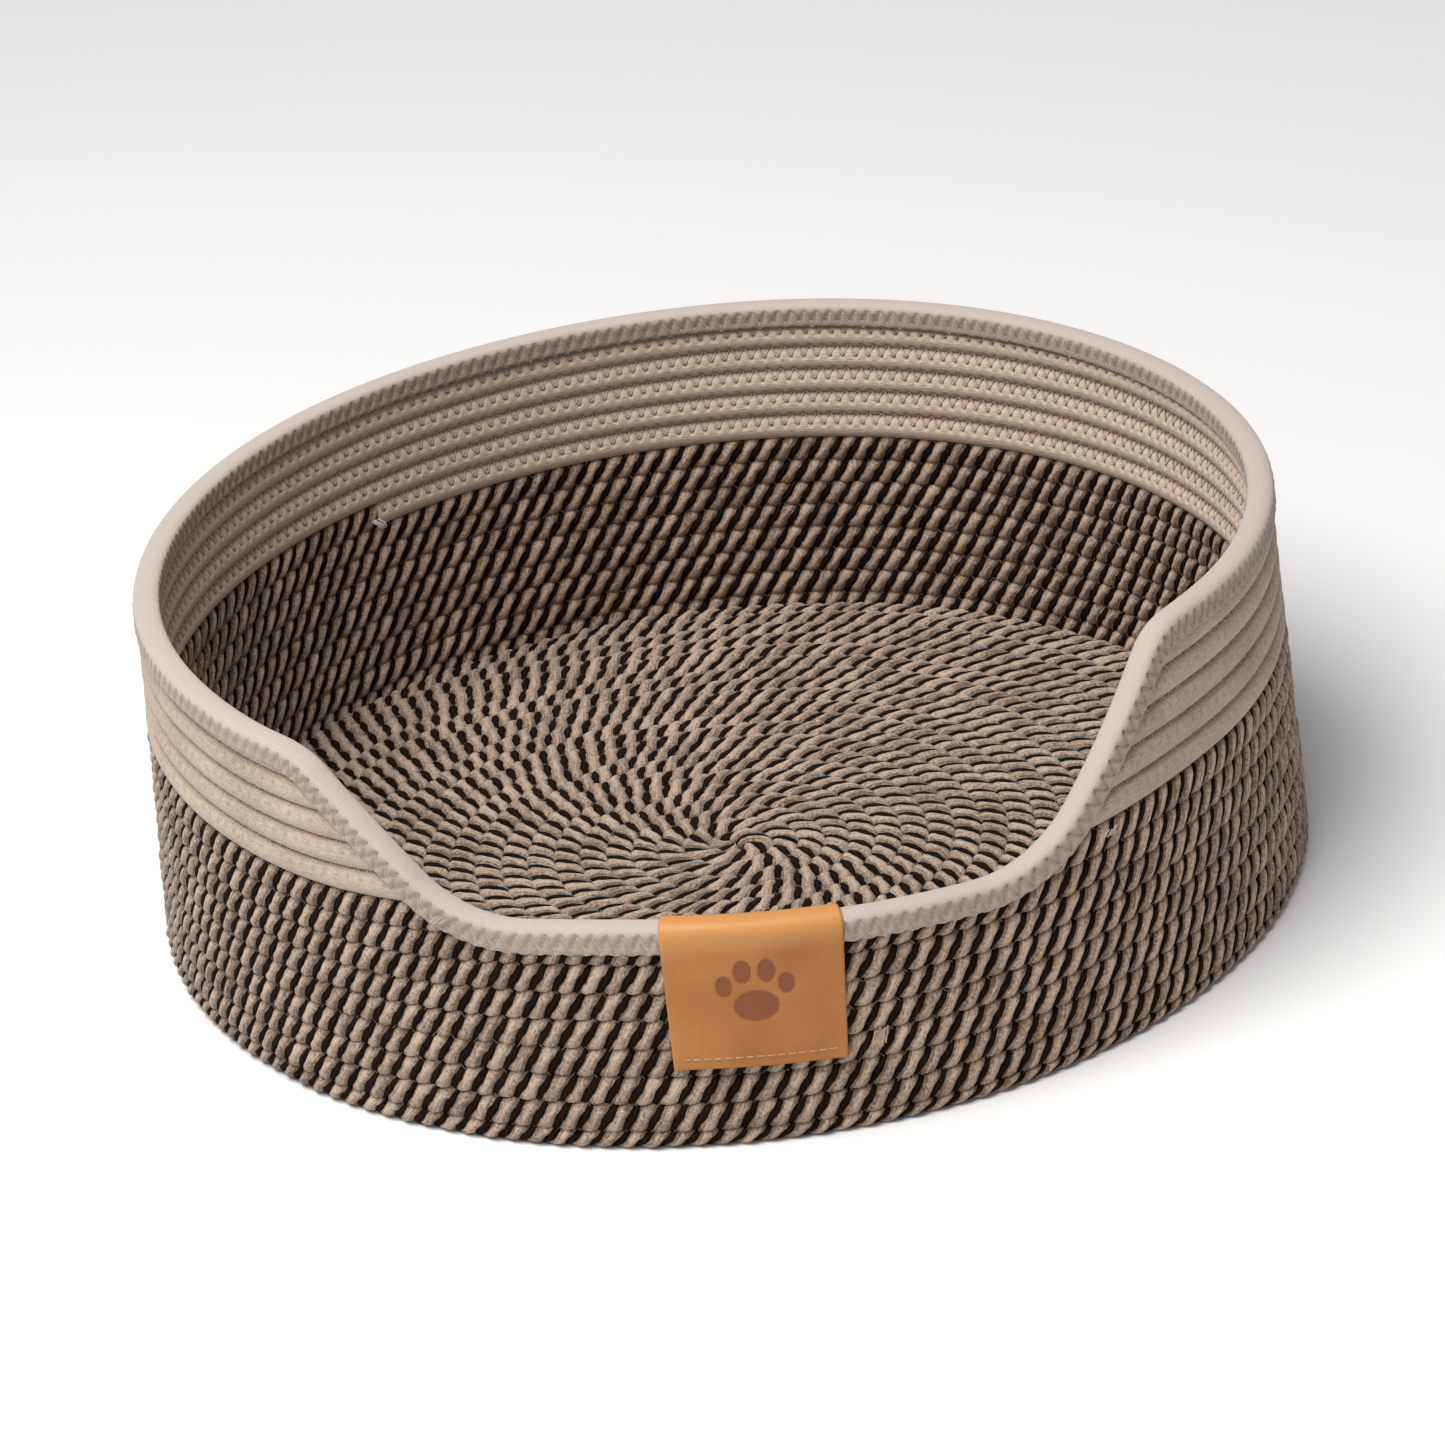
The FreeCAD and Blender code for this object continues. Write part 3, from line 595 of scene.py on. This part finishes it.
def make_plain_rope(name, first_turn, last_turn, seed):
    """A length of the plain rope between the doorway's two sides, drawn in by its stitches."""
    turns = np.arange(first_turn, last_turn, ZIG / 4 / SEAM_RUN)
    angle, low, high = wall_section(turns, PLAIN_SQUEEZE)
    section = face_columns(36)
    one, two = oval(section[None, :] + 0 * turns[:, None], PLAIN_POWER)
    z = ((low + high) / 2)[:, None] + two * ((high - low) / 2)[:, None]
    over_low = z - (PITCH * turns)[:, None] + SEAM_DROP
    furrow_low, pit_low = seam_dent(turns[:, None], over_low)
    furrow_high, pit_high = seam_dent(turns[:, None] + 1, over_low - PITCH)
    furrow = np.maximum(furrow_low * (turns > DARK_TURNS + 1)[:, None], furrow_high)
    pit = np.maximum(pit_low * (turns > DARK_TURNS + 1)[:, None], pit_high)
    face = np.clip(np.abs(one) * 3, 0, 1) * np.where(one > 0, 0.2, 1.0)
    furrow, pit = furrow * face, pit * face
    out = np.sign(one) * (np.abs(one) * THICK / 2 - (0.7 * furrow + 1.3 * pit) * MM)
    out = out + wander(turns * SEAM_RUN, 40 * MM, 0.2 * MM, seed)[:, None]
    rings = wall_spot(angle[:, None], z, out)
    run = turns * SEAM_RUN
    # Painted shade in the stitches' furrows and needle pits and in the grooves between courses, and
    # painted light: the inner face is given a lighter shade than the outer face; the wander is random
    # tone.
    painted_groove_shade = np.clip(np.abs(two) * 2.2 - 1.2, 0, 1) ** 2
    shade = np.where(one > 0, 0.7, 1.45) - 0.3 * furrow - 1.1 * pit - 0.3 * painted_groove_shade
    shade = shade + wander(run, 25 * MM, 0.12, seed + 1)[:, None]
    across = np.linspace(0, TURN * PITCH / 2, len(section) + 1)
    runs = [(rings[a:b], run[a:b], across, shade[a:b]) for a, b in stretches(high - low > THINNEST)]
    return tubes(name, runs, [PLAIN])


def make_wall_seam(name, side, first_turn, last_turn, half, sunk, drop, radius, material):
    """The zigzag thread in the seams of one face of the wall, a drop below the middle of each."""
    turns = np.arange(first_turn, last_turn, ZIG / 4 / SEAM_RUN)
    place = turns * SEAM_RUN / ZIG
    above = half * tri(place) - drop
    out = np.maximum(plain_surface(above), THICK / 2 - 1.6 * MM) - sunk
    out = out - 0.6 * MM * np.clip(np.abs(tri(place)) * 3 - 2, 0, 1)
    path = wall_spot(JOIN_ANGLE - TURN * turns, PITCH * turns + above, side * out)
    free = PITCH * turns + above < edge_at(JOIN_ANGLE - TURN * turns) - 2 * MM
    free = free & (PITCH * turns > 2.5 * MM)
    return tubes(name, [thread_tube(path[a:b], radius) for a, b in stretches(free)], [material])


def make_floor_seam(name):
    """The zigzag thread in the seams of the floor's upper face."""
    run, turns = floor_run(1.0, FLOOR_TURNS - 0.2, ZIG / 2)
    off = 1.5 * MM * tri(run / ZIG)
    radius = floor_turn_edges(turns)[0] + off
    z = THICK / 2 + np.maximum(plain_surface(off), THICK / 2 - 1.5 * MM) - 0.6 * MM
    return tubes(name, [thread_tube(floor_spot(JOIN_ANGLE - TURN * turns, radius, z))], [SEAM_THREAD])


# ------------------------------------------------------------------ folded tape
def edge_path():
    """The cut edge once round: distance, angle and height, and the way up out of the wall there."""
    slope = math.atan2(RIM - SILL, DOOR_HALF - SILL_HALF)
    corner = DOOR_HALF + RIM_ROUND * math.tan(slope / 2)
    x = np.linspace(0, corner, 600)
    z = edge_height(x)
    half_angle = np.arcsin(x / wall_radius(z))
    rim_angle = np.linspace(half_angle[-1], math.pi, 600)[1:]
    turned = np.concatenate([half_angle, rim_angle])
    z = np.concatenate([z, np.full(len(rim_angle), RIM)])
    turned = np.concatenate([-turned[::-1][:-1], turned])
    z = np.concatenate([z[::-1][:-1], z])
    arc = np.concatenate([[0], np.cumsum(np.diff(turned) * wall_radius((z[1:] + z[:-1]) / 2))])
    run = np.concatenate([[0], np.cumsum(np.hypot(np.diff(arc), np.diff(z)))])
    return run, turned, z, arc


def along_edge(distance, down, out):
    """Points at a distance along the cut edge, a depth down into the wall from it, and out."""
    run, turned, z, arc = edge_path()
    total = run[-1]
    here = np.mod(distance, total)
    fine = 1.5 * MM
    ahead, behind = np.minimum(here + fine, total), np.maximum(here - fine, 0)
    rise = np.interp(ahead, run, z) - np.interp(behind, run, z)
    go = np.interp(ahead, run, arc) - np.interp(behind, run, arc)
    size = np.hypot(rise, go)
    height = np.interp(here, run, z)
    angle = FRONT + np.interp(here, run, turned) + down * (rise / size) / wall_radius(height)
    return wall_spot(angle, height - down * go / size, out)


EDGE_LENGTH = float(edge_path()[0][-1])
TAPE_HALF = THICK / 2 + 0.75 * MM
STITCH_TOP, STITCH_LOW = 1.8 * MM, 7.6 * MM


def tape_zig(distance):
    """How far down from the edge the tape's zigzag is, at a distance along it."""
    middle, half = (STITCH_TOP + STITCH_LOW) / 2, (STITCH_LOW - STITCH_TOP) / 2
    return middle + half * tri(distance / TAPE_ZIG)


def tape_puff(distance, down):
    """How far the tape is drawn in by the zigzag, from 0 to 1."""
    slope = (STITCH_LOW - STITCH_TOP) / TAPE_ZIG
    near = np.abs(down - tape_zig(distance)) / math.hypot(slope, 1)
    zone = np.clip((down - STITCH_TOP + 1.0 * MM) / (1.0 * MM), 0, 1)
    return np.exp(-((near / (0.62 * MM)) ** 2)) * zone


def tape_section():
    """The tape's section, from one hem over the edge to the other and back along its inside: how far
    down from the edge, how far out, and 1 where it is the outer surface."""
    hem = np.linspace(TAPE_WIDTH, STITCH_TOP, 12)[:-1]
    cap_out, cap_up = oval(np.linspace(0, math.pi, 15), 2.4)
    down = np.concatenate([hem, STITCH_TOP - (STITCH_TOP + 0.8 * MM) * cap_up, hem[::-1]])
    out = np.concatenate([np.full(11, TAPE_HALF), TAPE_HALF * cap_out, np.full(11, -TAPE_HALF)])
    deep, shallow = TAPE_WIDTH - 0.1 * MM, STITCH_TOP + 1 * MM
    inner_down = np.array([deep, shallow, 0.6 * MM, shallow, deep])
    inner_out = np.array([-1, -1, 0, 1, 1]) * (TAPE_HALF - TAPE_THICK)
    shown = np.concatenate([np.ones(len(down)), np.zeros(5)])
    return np.append(down, inner_down)[::-1], np.append(out, inner_out)[::-1], shown[::-1]


def make_binding():
    """The tape: over the edge and down both faces, puffed between its stitches."""
    count = int(EDGE_LENGTH / (TAPE_ZIG / 3))
    distance = np.linspace(0, EDGE_LENGTH, count + 1)[:-1]
    down, out, shown = tape_section()
    d, q = distance[:, None], down[None, :]
    drawn = tape_puff(d, q) * shown
    sewn = np.clip((q - STITCH_TOP * 0.5) / (1.6 * MM), 0, 1) * shown
    slack = 0.25 * MM * np.cos(TURN * d / (7.3 * MM)) * sewn
    thinned = 0.7 * MM * np.clip((q - STITCH_LOW) / (TAPE_WIDTH - STITCH_LOW), 0, 1) * shown
    swollen = out + np.sign(out) * (0.3 * MM * sewn - 1.0 * MM * drawn + slack * 0.4 - thinned)
    hem = 0.3 * MM * np.cos(math.pi * d / TAPE_ZIG) * (q > TAPE_WIDTH - 0.3 * MM)
    rings = along_edge(d + 0 * q, q + hem, swollen)
    # Painted light on the smooth fold over the edge, painted shade over the stitched zone and along the
    # zigzag's furrows; the wander is random tone.
    shade = 1.1 - 0.8 * sewn - 0.3 * drawn + wander(distance, 30 * MM, 0.06, 61)[:, None]
    columns = rings.shape[1]
    closed = np.concatenate([rings, rings[:1]])
    quads = round_faces(len(closed), columns) % (len(rings) * columns)
    across = np.linspace(0, 2 * TAPE_WIDTH + 20 * MM, columns + 1)
    uv = round_uv(np.append(distance, EDGE_LENGTH), across)
    return finish_piece("rim_binding_tape", rings.reshape(-1, 3), [quads], [TAPE], None, uv, shade)


def label_hides(distance):
    """True where the label covers the edge."""
    middle = EDGE_LENGTH / 2
    return np.abs(distance - middle) < (LABEL_HIGH.x - LABEL_LOW.x) / 2 + 0.5 * MM


def make_binding_stitches():
    """The zigzag thread through the tape, on both faces."""
    distance = np.arange(0, EDGE_LENGTH, TAPE_ZIG / 3)
    down = tape_zig(distance)
    runs = []
    for side in (-1, 1):
        path = along_edge(distance, down, side * (TAPE_HALF - 0.55 * MM) * np.ones(len(distance)))
        runs += [thread_tube(path[a:b], 0.26 * MM) for a, b in stretches(~label_hides(distance))]
    return tubes("binding_zigzag", runs, [LIGHT_THREAD])


# ------------------------------------------------------------------ label
LABEL_WIDTH = LABEL_HIGH.x - LABEL_LOW.x
LABEL_DROP = SILL - LABEL_LOW.z
LEATHER_THICK = 1.1 * MM
PAW_AT = 28 * MM
PAW = (
    (0.0, -4.8 * MM, 7.8 * MM, 5.9 * MM),
    (-10.4 * MM, 3.0 * MM, 2.9 * MM, 4.0 * MM),
    (-4.0 * MM, 8.2 * MM, 3.1 * MM, 4.5 * MM),
    (4.0 * MM, 8.2 * MM, 3.1 * MM, 4.5 * MM),
    (10.4 * MM, 3.0 * MM, 2.9 * MM, 4.0 * MM),
)
LABEL_TURN = -0.009
LABEL_LEAN = 0.022
LABEL_SKEW = 0.01
LABEL_TAPER = 0.065
LABEL_SHIFT = -1.9 * MM


def paw_print(x, up):
    """1 inside a plain paw print round the origin, 0 outside, with a soft border."""
    inside = np.zeros(np.broadcast(x, up).shape)
    for centre_x, centre_up, half_x, half_up in PAW:
        reach = np.hypot((x - centre_x) / half_x, (up - centre_up) / half_up)
        inside = np.maximum(inside, np.clip((1.03 - reach) / 0.08, 0, 1))
    return inside


def label_profile(count):
    """The label's middle line over the sill: height and distance out, from the outer lower end."""
    low, top = SILL - LABEL_DROP + 1.2 * MM, SILL + 2.0 * MM
    base, hold = THICK / 2 + 0.9 * MM, TAPE_HALF + 0.85 * MM
    cap_out, cap_up = oval(np.linspace(0, math.pi, 25), 2.3)
    knee = SILL - TAPE_WIDTH - 1.5 * MM
    face_z = np.array([low, low + 6 * MM, (low + knee) / 2, knee, SILL - 5 * MM])
    face_out = np.array([base, base + 0.1 * MM, base + 0.25 * MM, hold - 0.1 * MM, hold])
    z = np.concatenate([face_z, SILL - 3.4 * MM + (top - SILL + 3.4 * MM) * cap_up, face_z[::-1]])
    out = np.concatenate([face_out, hold * cap_out, -face_out[::-1]])
    run = np.concatenate([[0], np.cumsum(np.hypot(np.diff(z), np.diff(out)))])
    even = np.linspace(0, run[-1], count)
    return even, np.interp(even, run, z), np.interp(even, run, out)


def label_spot(x, z, out):
    """A point of the label, which hangs from the sill a little crooked and narrows downwards."""
    hang = np.clip((SILL - z) / LABEL_DROP, 0, 1)
    turned_x = x * (1.02 - LABEL_TAPER * hang) + LABEL_LEAN * (z - SILL) + LABEL_SHIFT
    angle = FRONT + np.arcsin(turned_x / wall_radius(SILL))
    return wall_spot(angle, z + (LABEL_SKEW * hang - LABEL_TURN) * x, out, hung_from=SILL)


def make_label():
    """The folded leather strip, debossed with a paw print on its outer face."""
    rows, columns = 260, 110
    run, z, out = label_profile(rows)
    x = np.linspace(-LABEL_WIDTH / 2, LABEL_WIDTH / 2, columns)
    slope = np.stack([np.gradient(z), np.gradient(out)], axis=1)
    slope /= np.linalg.norm(slope, axis=1, keepdims=True)
    mark = paw_print(x[None, :], run[:, None] - PAW_AT) * (run[:, None] < LABEL_DROP)
    side = np.clip((np.abs(x) - LABEL_WIDTH / 2 + 0.7 * MM) / (0.7 * MM), 0, 1) ** 2
    end = np.minimum(run, run[-1] - run)
    end = np.clip(1 - end / (0.7 * MM), 0, 1) ** 2
    half = LEATHER_THICK / 2 * (1 - 0.65 * np.maximum(side[None, :], end[:, None]))
    curl = np.clip((np.abs(x)[None, :] - 20 * MM) / (10 * MM), 0, 1) ** 2
    curl = 0.7 * MM * curl * np.clip(1 - run[:, None] / (30 * MM), 0, 1)
    layers, shades = [], []
    for face, press in ((1, 0.25 * MM), (-1, 0.0)):
        shift = face * half - press * mark
        height = z[:, None] - slope[:, 1:2] * shift
        away = out[:, None] + slope[:, 0:1] * shift + curl
        layers.append(label_spot(x[None, :] + 0 * height, height, away))
        shades.append(mark if face > 0 else 0 * mark)
    quads = strip_faces(rows, columns)
    back = quads[:, ::-1] + rows * columns
    rim = border_faces(rows, columns)
    return finish_piece(
        "leather_label",
        np.concatenate([layer.reshape(-1, 3) for layer in layers]),
        [np.concatenate([quads, back, rim])],
        [LEATHER],
        shade=np.concatenate([tone.ravel() for tone in shades]),
    )


def strip_faces(rows, columns):
    """Quads of a sheet of rows and columns of points."""
    corner = np.arange(rows - 1)[:, None] * columns + np.arange(columns - 1)[None, :]
    quads = np.stack([corner, corner + 1, corner + columns + 1, corner + columns], axis=-1)
    return quads.reshape(-1, 4)


def border_faces(rows, columns):
    """Quads that join the borders of two such sheets, the second one numbered after the first."""
    top = np.arange(columns)
    right = np.arange(rows) * columns + columns - 1
    bottom = (top + (rows - 1) * columns)[::-1]
    left = (right - columns + 1)[::-1]
    ring = np.concatenate([top, right[1:], bottom[1:], left[1:-1]])
    there = np.roll(ring, -1)
    shift = rows * columns
    return np.stack([there, ring, ring + shift, there + shift], axis=-1)


def make_label_stitches():
    """The row of stitches along the label's lower edge, on both faces."""
    hem, step, length = 4 * MM, 3.6 * MM, 2.6 * MM
    run, z, out = label_profile(240)
    count = int((LABEL_WIDTH - hem) / step)
    runs = []
    for number in range(count):
        x = (number - (count - 1) / 2) * step + np.linspace(-0.5, 0.5, 7) * length
        arch = 0.22 * MM * (1 - np.linspace(-1, 1, 7) ** 4)
        for side, distance in ((1, hem), (-1, run[-1] - hem)):
            away = np.interp(distance, run, out) + side * (LEATHER_THICK / 2 - 0.1 * MM + arch)
            height = np.full(7, np.interp(distance, run, z))
            runs.append(thread_tube(label_spot(x, height, away), 0.36 * MM, 6))
    return tubes("label_stitch_row", runs, [LABEL_THREAD])


# ------------------------------------------------------------------ tacks
def make_tuft(name, node, count, loose, radius, seed, material, reach, rise):
    """Short threads worked over and over one spot, filling the room of a CAD tack. The reach is how
    far each thread runs along the rope and the rise how far it runs up, as shares of the room."""
    low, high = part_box(node)
    centre = (low + high) / 2
    inward = -1 if math.hypot(centre.x, centre.y) < wall_radius(centre.z) else 1
    angle = math.atan2(centre.y, centre.x)
    away = math.hypot(centre.x, centre.y) - wall_radius(centre.z)
    wide = math.hypot(high.x - low.x, high.y - low.y) / 2
    tall = (high.z - low.z) / 2
    draw = np.random.default_rng(seed)
    t = np.linspace(-1, 1, 9)
    runs = []
    for number in range(count):
        lean = draw.uniform(-1, 1, 3)
        side = wide * (reach * t + (1 - reach) * lean[0])
        z = centre.z + tall * (rise * t + (1 - rise) * lean[1])
        lift = loose * (1 - t**4) * (0.5 + 0.5 * lean[2])
        out = away + inward * (lift - 0.3 * MM)
        runs.append(thread_tube(wall_spot(angle + side / BASE_RADIUS, z, out), radius, 6))
    return tubes(name, runs, [material])


# ------------------------------------------------------------------ build
def stands_for(piece, slot, *nodes):
    """Rides the piece on the basket, in place of these CAD nodes."""
    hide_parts(*nodes)
    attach(piece, "root")
    return piece


FLOOR_PARTS = (FLOOR_START, 12.0, 17.0, FLOOR_TURNS + 1)
WALL_PARTS = (-1.0, 2.5, 5.5, DARK_TURNS)
for number in range(3):
    span = FLOOR_PARTS[number : number + 2]
    rope = make_floor_rope("floor_rope_%d" % (number + 1), *span, 100 + 40 * number)
    stands_for(rope, "two_tone_rope", "floor_coil")
    span = WALL_PARTS[number : number + 2]
    rope = make_wall_rope("wall_rope_%d" % (number + 1), *span, 220 + 40 * number)
    stands_for(rope, "two_tone_rope", "wall_coil")

DOOR_TURN = (JOIN_ANGLE - FRONT) / TURN
for course in range(1, 7):
    start = DARK_TURNS + course - 2 + DOOR_TURN if course > 1 else DARK_TURNS
    end = DARK_TURNS + course - 1 + DOOR_TURN if course < 6 else ALL_TURNS
    rope = make_plain_rope("plain_rope_%d" % course, start, end, 300 + 10 * course)
    stands_for(rope, "plain_rope", "plain_course_%d" % course)

stands_for(make_floor_seam("floor_zigzag"), "dark_thread", "floor_seam_thread")
LIGHT_SEAMS = ((-1, "inside", 0.3 * MM, 0.4 * MM), (1, "outside", 0.5 * MM, THREAD))
for side, face, sunk, light_radius in LIGHT_SEAMS:
    node = "wall_seam_thread_" + face
    first_light = DARK_TURNS + 1
    dark = make_wall_seam(
        "dark_zigzag_" + face, side, 0.3, first_light, 1.6 * MM, 0.6 * MM, 0.0, THREAD, SEAM_THREAD
    )
    light = make_wall_seam(
        "light_zigzag_" + face,
        side,
        first_light,
        ALL_TURNS,
        SEAM_HALF,
        sunk,
        SEAM_DROP,
        light_radius,
        LIGHT_THREAD,
    )
    stands_for(dark, "dark_thread", node)
    stands_for(light, "light_thread", node)

binding = stands_for(make_binding(), "binding_tape", "rim_binding")
stitches = stands_for(make_binding_stitches(), "light_thread", "binding_stitches")
label = stands_for(make_label(), "label_leather", "label")
label_row = stands_for(make_label_stitches(), "light_thread", "label_stitches")
tuft = make_tuft("join_tuft", "rope_join_tack", 16, 0.6 * MM, 0.3 * MM, 5, WHITE_THREAD, 0.4, 0.6)
stands_for(tuft, "light_thread", "rope_join_tack")
for side, seed in (("left", 6), ("right", 7)):
    node = "door_tack_" + side
    tack = make_tuft(node + "_thread", node, 5, 0.1 * MM, 0.22 * MM, seed, LIGHT_THREAD, 0.3, 0.6)
    stands_for(tack, "light_thread", node)
splice = make_tuft("splice_thread", "splice_stitches", 12, 0.1 * MM, 0.4 * MM, 8, COTTON, 0.2, 0.8)
stands_for(splice, "light_thread", "splice_stitches")

# ------------------------------------------------------------------ stage, light, camera
CAMERA_AIM = Vector((1 * MM, 28.8 * MM, 43 * MM))
CAMERA_AWAY = 2.248
CAMERA_AZIMUTH = math.radians(-1.2)
CAMERA_RISE = math.radians(26.17)
CAMERA_ROLL = math.radians(-6.08)
CAMERA_LENS = 148.4


def make_stage():
    """A plain pale floor that runs out of sight."""
    size = 6.0
    corners = [(-size, -size, 0), (size, -size, 0), (size, size, 0), (-size, size, 0)]
    mesh = bpy.data.meshes.new("studio_floor")
    mesh.from_pydata(corners, [], [(0, 1, 2, 3)])
    floor = bpy.data.objects.new("studio_floor", mesh)
    bpy.context.scene.collection.objects.link(floor)
    mesh.materials.append(new_material("studio_paper", (0.78, 0.78, 0.78), 0.9)[0])


def make_light(name, spot, aim, size, power, color):
    """A square soft box at a spot, turned to its aim."""
    data = bpy.data.lights.new(name, "AREA")
    data.size, data.energy, data.color = size, power, color
    light = bpy.data.objects.new(name, data)
    light.location = spot
    light.rotation_euler = (Vector(aim) - Vector(spot)).to_track_quat("-Z", "Y").to_euler()
    bpy.context.scene.collection.objects.link(light)


def make_camera():
    """The camera at the angle of view the basket is seen from."""
    back = Vector(
        (
            math.sin(CAMERA_AZIMUTH) * math.cos(CAMERA_RISE),
            -math.cos(CAMERA_AZIMUTH) * math.cos(CAMERA_RISE),
            math.sin(CAMERA_RISE),
        )
    )
    data = bpy.data.cameras.new("camera")
    data.lens, data.sensor_width = CAMERA_LENS, 36.0
    camera = bpy.data.objects.new("camera", data)
    camera.location = CAMERA_AIM + back * CAMERA_AWAY
    camera.rotation_mode = "QUATERNION"
    roll = Quaternion((0, 0, 1), CAMERA_ROLL)
    camera.rotation_quaternion = (-back).to_track_quat("-Z", "Y") @ roll
    bpy.context.scene.collection.objects.link(camera)
    bpy.context.scene.camera = camera


make_stage()
make_light("key", (-0.7, -0.65, 2.15), (0, 0, 0.05), 1.7, 80, (1.0, 0.985, 0.96))
make_light("fill", (-0.5, -2.0, 1.0), (0, 0, 0.05), 1.4, 3, (1.0, 0.98, 0.96))
world = bpy.data.worlds.new("studio")
world.use_nodes = True
world.node_tree.nodes["Background"].inputs["Color"].default_value = (1, 1, 1, 1)
world.node_tree.nodes["Background"].inputs["Strength"].default_value = 0.3
bpy.context.scene.world = world
make_camera()
bpy.context.scene.view_settings.view_transform = "Standard"
